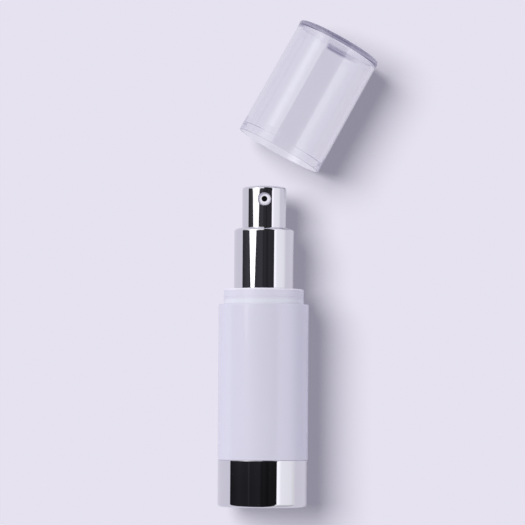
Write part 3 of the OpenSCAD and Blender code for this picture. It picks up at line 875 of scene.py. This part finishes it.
collar_r, collar_low, collar_top = reach("collar_shell")
lip_low = collar_top - COLLAR_LIP
curl = circle_points((COLLAR_HOLE, lip_low), (collar_r - COLLAR_HOLE, COLLAR_LIP), 0, CURL_END, 12)
collar_outline = rounded([
    (collar_r - COLLAR_WALL, collar_low, CRISP_EDGE),
    (collar_r, collar_low, SOFT_EDGE),
    (collar_r, lip_low - SUPPORT, 0),
    *((r, s, 0) for r, s in curl),
    (COLLAR_HOLE, collar_top, FINE_EDGE),
    (COLLAR_HOLE, lip_low, CRISP_EDGE),
    (collar_r - COLLAR_WALL, lip_low, CRISP_EDGE),
])
add_turned("collar", collar_outline, "bottle", "bright_metallised", bright, ["collar_shell"])

# %% [markdown]
# ## Head
# The head is a thin bright shell, open below, with a low dome on top and a round hole for the nozzle.
# A boolean cut would leave long thin faces, which bright metal shows as smears.
# So a square window is left out of the turned wall, and a patch fills it: its rings change evenly
# from the window's edge to the hole, and every point of it lies on the wall's own cylinder.

# %% Head, its profile
HEAD_WALL = 0.55
HEAD_DOME = 0.8
HEAD_ROUND = 0.8
HEAD_TOP = 1.3
HEAD_CORNER = 0.15
WINDOW_ROWS = 24
WINDOW_HALF = 2.35

head_r, skirt, head_top = reach("actuator_shell")
nozzle_r, nozzle_low, nozzle_high = reach("nozzle_insert")
nozzle_s = (nozzle_low + nozzle_high) / 2
dome_r = (head_r ** 2 + HEAD_DOME ** 2) / (2 * HEAD_DOME)
dome_s = head_top - dome_r
edge_r = head_r - HEAD_ROUND
edge_s = dome_s + math.sqrt((dome_r - HEAD_ROUND) ** 2 - edge_r ** 2)
meeting = math.degrees(math.atan2(edge_s - dome_s, edge_r))
levels = np.linspace(nozzle_s - WINDOW_HALF, nozzle_s + WINDOW_HALF, WINDOW_ROWS + 1)
inner_r = head_r - HEAD_WALL
head_outline = np.vstack([
    rounded([
        (0, head_top - HEAD_TOP, 0),
        (inner_r, head_top - HEAD_TOP, HEAD_CORNER),
        *((inner_r, s, 0) for s in levels[::-1]),
        (inner_r, skirt, FINE_EDGE),
        (head_r, skirt, SOFT_EDGE),
        *((head_r, s, 0) for s in levels),
    ]),
    circle_points((edge_r, edge_s), HEAD_ROUND, 0, meeting, 10),
    circle_points((0, dome_s), dome_r, meeting, 90, 24)[1:],
])
print(f"wall ends at {edge_s:.2f} mm and the window at {levels[-1]:.2f} mm")

# %% Head, patch round the nozzle's hole
NOZZLE_FIT = 0.05
WINDOW_COLUMNS = 15


def window_patch(patch_steps=8, wall_steps=3):
    """Rings from the outer wall's window to the hole, through it, and out to the inner wall's window.

    On each wall a point is hole + (window - hole) * t across and along the bottle,
    and stands at the square root of radius squared - across squared, which is the wall's cylinder.
    """
    steps = WINDOW_COLUMNS
    column = np.concatenate([np.arange(-steps, steps), np.full(WINDOW_ROWS, steps),
                             np.arange(steps, -steps, -1), np.full(WINDOW_ROWS, -steps)])
    row = np.concatenate([np.zeros(2 * steps, int), np.arange(WINDOW_ROWS),
                          np.full(2 * steps, WINDOW_ROWS), np.arange(WINDOW_ROWS, 0, -1)])
    turn = 2 * np.pi * (RING // 4 + column) / RING
    along = levels[row]
    around = np.arctan2(along - nozzle_s, head_r * np.cos(turn))
    hole_r = nozzle_r + NOZZLE_FIT
    hole = np.stack([hole_r * np.cos(around), nozzle_s + hole_r * np.sin(around)], -1)

    def on_wall(radius, shares):
        edge = np.stack([radius * np.cos(turn), along], -1)
        flat = hole + (edge - hole) * shares[:, None, None]
        return np.concatenate([flat, np.sqrt(radius ** 2 - flat[..., :1] ** 2)], -1)

    shares = np.linspace(1, 0, patch_steps + 1)
    outer, inner = on_wall(head_r, shares), on_wall(inner_r, shares[::-1])
    deep = np.linspace(0, 1, wall_steps + 2)[1:-1, None, None]
    through = outer[-1] + (inner[0] - outer[-1]) * deep
    rings = np.concatenate([outer, through, inner])
    count = rings.shape[1]
    ring, k = np.arange(len(rings) - 1)[:, None], np.arange(count)
    after = (k + 1) % count
    quads = np.stack([ring * count + k, (ring + 1) * count + k,
                      (ring + 1) * count + after, ring * count + after], -1)
    return rings.reshape(-1, 3) * MM, quads.reshape(-1, 4)


patch_points, patch_quads = window_patch()
print("faces in the patch:", len(patch_quads))


# %% Head, turned with the window left out
def wall_rows(outline, radius):
    """Where the window's levels lie in the outline of a wall, as positions between its body points."""
    on_wall = np.isclose(outline[1:-1, 0], radius) & np.isin(outline[1:-1, 1].round(6), levels.round(6))
    return np.flatnonzero(on_wall)


points, quads, triangles = turned(head_outline)
kept = np.ones(quads.shape[:2], bool)
front = slice(RING // 4 - WINDOW_COLUMNS, RING // 4 + WINDOW_COLUMNS)
for radius in (head_r, inner_r):
    rows = wall_rows(head_outline, radius)
    kept[front, rows.min():rows.max()] = False
head = add_piece(
    "head_shell", np.vstack([points, patch_points]),
    quads[kept].tolist() + triangles.tolist() + (patch_quads + len(points)).tolist(),
    "head", bright, ["actuator_shell"])


# %% Head, closing the seam
def weld(piece, within=0.5 * MICRON):
    """Joins the points that two surfaces share along their seam."""
    work = bmesh.new()
    work.from_mesh(piece.data)
    bmesh.ops.remove_doubles(work, verts=work.verts, dist=within)
    open_edges = sum(not edge.is_manifold for edge in work.edges)
    work.to_mesh(piece.data)
    work.free()
    print(f"{piece.name}: {len(piece.data.vertices)} points, {open_edges} open edges")


weld(head)

# %% [markdown]
# ## Nozzle
# The nozzle is a small white stud pushed into the side of the head. Its face is rounded outwards
# and into its hole, which is a real bore with painted shade inside.

# %% Nozzle
NOZZLE_BORE = 0.8
SHANK_RADIUS = 1.35
FACE_START = 5.3
FACE_ROUND = 0.85
BORE_ROUND = 0.2

shank_end, face_end = (corner.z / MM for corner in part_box("nozzle_insert"))
nozzle_outline = rounded([
    (NOZZLE_BORE, shank_end, CRISP_EDGE),
    (SHANK_RADIUS, shank_end, FINE_EDGE),
    (SHANK_RADIUS, FACE_START, CRISP_EDGE),
    (nozzle_r, FACE_START, FINE_EDGE),
    (nozzle_r, face_end, FACE_ROUND),
    (NOZZLE_BORE, face_end, BORE_ROUND),
], steps=10)
add_turned("nozzle", nozzle_outline, "head", "white_nozzle", white_nozzle, ["nozzle_insert"],
           foot=(0, nozzle_s, 0), along=(0, 0, 1))

# %% [markdown]
# ## Overcap
# The overcap is one closed wall, thick enough to bend light as the real one does.
# Behind the mouth its bore narrows by a lead-in with a small step and a bend, which show
# as fine lines, and its solid top shows as a dark band.

# %% Overcap
CAP_WALL = 1.2
CAP_DRAFT = 0.2
CAP_LENGTH = 37.8
CAP_TOP = 1.5
CAP_ROUND = 0.6
CEILING_ROUND = 0.8
LEAD_MOUTH, LEAD_STEP, LEAD_SHELF = 0.7, 0.32, 0.2
LEAD_LOW, LEAD_HIGH, LEAD_END = 2.4, 2.6, 4.5
LEAD_LINE, LEAD_BEND = 0.04, 0.3
CAP_SIDE = 4.2
CAP_AHEAD = 10.5

tilt = math.radians(next(j for j in frame["joints"] if j["name"] == "cap_swing")["range_deg"][1])
cap_in = body_r - CAP_WALL
ceiling = CAP_LENGTH - CAP_TOP
cap_outline = rounded([
    (0, ceiling, 0),
    (cap_in - CAP_DRAFT, ceiling, CEILING_ROUND),
    (cap_in, LEAD_END, LEAD_BEND),
    (cap_in + LEAD_SHELF, LEAD_HIGH, LEAD_LINE),
    (cap_in + LEAD_STEP, LEAD_LOW, LEAD_LINE),
    (cap_in + LEAD_MOUTH, 0, FINE_EDGE),
    (body_r, 0, SOFT_EDGE),
    (body_r - CAP_DRAFT, CAP_LENGTH, CAP_ROUND),
    (0, CAP_LENGTH, 0),
], steps=8)
add_turned("cap_clear", cap_outline, "cap", "clear_cap", clear, ["overcap"],
           foot=(CAP_SIDE, head_top + CAP_AHEAD, 0),
           along=(math.sin(tilt), math.cos(tilt), 0), across=(math.cos(tilt), -math.sin(tilt), 0))

# %% [markdown]
# ## Shades in the overcap
# In the photograph a dark patch lies under the thick top, where the dark room shows in its inner
# rounding, and the side away from the key light is a little greyer. The studio above doesn't give
# these two by itself, so they are laid over the plastic by place: how far along the cap from its mouth,
# how far across it, and for the patch only low down, on the rounding that the camera sees through the top.

# %% Shades in the overcap
TOP_SHADE, SIDE_SHADE = light(172, 169, 189), light(247, 247, 248)
# Where each edge of a shade begins and where the shade is full, in millimetres
SIDE_EDGE = (8, 11)
BELOW_CEILING, ABOVE_CEILING = (-1.4, -0.3), (0.6, 0.3)
LOW_DOWN = (-8, -10)
LEFT_EDGE, RIGHT_EDGE = (-3.6, -2.6), (9, 1)

tree = clear.node_tree
right, ahead, upwards = axes(tree, "Object")
from_x = link_math(tree, "SUBTRACT", right, CAP_SIDE * MM)
from_y = link_math(tree, "SUBTRACT", ahead, (head_top + CAP_AHEAD) * MM)
along = link_math(tree, "ADD", product(tree, from_x, math.sin(tilt)), product(tree, from_y, math.cos(tilt)))
aside = link_math(tree, "SUBTRACT", product(tree, from_x, math.cos(tilt)),
                  product(tree, from_y, math.sin(tilt)))


def edge_of_shade(value, edge, start=0.0):
    """A share that rises smoothly from where an edge begins to where the shade is full."""
    begins, full = edge
    return mapped(tree, value, (start + begins) * MM, (start + full) * MM)


overlay(clear, edge_of_shade(aside, SIDE_EDGE), SIDE_SHADE)
overlay(clear, product(
    tree, edge_of_shade(along, BELOW_CEILING, ceiling), edge_of_shade(along, ABOVE_CEILING, ceiling),
    edge_of_shade(upwards, LOW_DOWN), edge_of_shade(aside, LEFT_EDGE),
    edge_of_shade(aside, RIGHT_EDGE)), TOP_SHADE)
print("nodes in the clear finish:", len(tree.nodes))

# %% [markdown]
# ## Inside pieces
# The inner bottle, the follower and the pump's pieces are natural plastic, the seals are softer
# and greyer, and the ball and the spring are steel. Hardly any of them shows from outside,
# and each still gets the finish that it has on the bench. Only the head's core shows, as the end
# of the nozzle's hole, so painted shade darkens its plastic round that outlet.

# %% Inside finishes
NATURAL = {"colours": (light(226, 226, 222), light(234, 234, 231)), "clouds": 120.0, "grain": 900.0,
           "patches": 80.0, "roughness": 0.45, "spread": 0.12, "depth": 6 * MICRON}
# Painted shade on the core round its outlet, at the bottom of the nozzle's hole
OUTLET_FROM, OUTLET_FULL = 1.5 * MM, 1.2 * MM

natural = new_finish("natural_plastic", **NATURAL)
core = new_finish("natural_core", **NATURAL)
*_, away = round_nozzle(core.node_tree)
overlay(core, mapped(core.node_tree, away, OUTLET_FROM, OUTLET_FULL), PAINTED_HOLE_SHADE)
soft = new_finish(
    "soft_seal", (light(208, 210, 212), light(219, 221, 222)), clouds=200.0, grain=2500.0,
    patches=150.0, roughness=0.6, spread=0.1, depth=10 * MICRON)
steel = new_finish(
    "steel", (light(168, 168, 170), light(190, 190, 192)), clouds=500.0, grain=4000.0,
    patches=300.0, roughness=0.22, spread=0.12, depth=2 * MICRON, Metallic=1.0)
print("finishes:", natural.name, core.name, soft.name, steel.name)

# %% Inside pieces
INSIDE = [
    ("natural_plastic", natural, ["inner_bottle", "base_plug", "follower_piston", "closure", "pump_housing",
                                  "housing_lid", "ball_retainer", "plunger_rod", "stem"]),
    ("natural_plastic", core, ["actuator_core"]),
    ("soft_seal", soft, ["neck_gasket", "piston_seal"]),
    ("steel", steel, ["inlet_ball"]),
]
for slot, finish, names in INSIDE:
    for name in names:
        piece = frame["nodes"][name]
        piece.data.materials.clear()
        piece.data.materials.append(finish)
print("inside pieces dressed:", sum(len(names) for _, _, names in INSIDE))

# %% [markdown]
# ## Return spring
# A spring is a round wire swept along a helix. Its end coils lie close to their neighbours,
# so the height hardly rises near both ends. As the head goes down, the 9 mm between its seats
# become 5 mm, but this spring keeps its full length.

# %% Return spring
WIRE = 0.3
SPRING_TURNS = 6
FLAT_TURNS = 0.6
FLAT_RISE = 0.07
STEPS_PER_TURN = 40
WIRE_SIDES = 16

spring_out, spring_low, spring_high = reach("return_spring")
helix_r = spring_out - WIRE


def spring_surface():
    """The helix is (r cos a, height(a), r sin a), and the wire's ring stands square to its direction.

    height(a) rises by a slight slope all the way, plus a straight rise between the flat ends.
    """
    t = np.linspace(0, 1, SPRING_TURNS * STEPS_PER_TURN + 1)
    a = 2 * np.pi * SPRING_TURNS * t
    low, high = spring_low + WIRE, spring_high - WIRE
    flat = FLAT_TURNS / SPRING_TURNS
    rise = np.clip((t - flat) / (1 - 2 * flat), 0, 1)
    share = FLAT_RISE * t + (1 - FLAT_RISE) * rise
    path = np.stack([helix_r * np.cos(a), low + (high - low) * share, helix_r * np.sin(a)], -1)
    ahead = np.gradient(path, axis=0)
    ahead /= np.linalg.norm(ahead, axis=1, keepdims=True)
    out = np.stack([np.cos(a), np.zeros_like(a), np.sin(a)], -1)
    out -= (out * ahead).sum(1, keepdims=True) * ahead
    out /= np.linalg.norm(out, axis=1, keepdims=True)
    third = np.cross(ahead, out)
    b = 2 * np.pi * np.arange(WIRE_SIDES)[:, None] / WIRE_SIDES
    rings = path[:, None] + WIRE * (np.cos(b) * out[:, None] + np.sin(b) * third[:, None])
    points = np.vstack([rings.reshape(-1, 3), path[:1], path[-1:]])
    i, k = np.arange(len(path) - 1)[:, None], np.arange(WIRE_SIDES)
    after = (k + 1) % WIRE_SIDES
    n = WIRE_SIDES
    walls = np.stack([i * n + k, i * n + after, (i + 1) * n + after, (i + 1) * n + k], -1).reshape(-1, 4)
    start, end = len(points) - 2, len(points) - 1
    last = (len(path) - 1) * n
    caps = np.vstack([np.stack([np.full(n, start), after, k], 1),
                      np.stack([np.full(n, end), last + k, last + after], 1)])
    return points * MM, walls.tolist() + caps.tolist()


spring_points, spring_faces = spring_surface()
spring = add_piece("spring", spring_points, spring_faces, "bottle", steel, ["return_spring"])
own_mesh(spring)

# %% [markdown]
# ## Finish
# The fill lights reach every piece and every node of the object, and not the table.
# The object also stays out of the soft bounce of light, so that it throws no glow on the table.

# %% Finish
for thing in bpy.context.scene.objects:
    if thing.type == "MESH" and thing not in (table, softbox):
        lit_pieces.objects.link(thing)
        thing.visible_diffuse = False
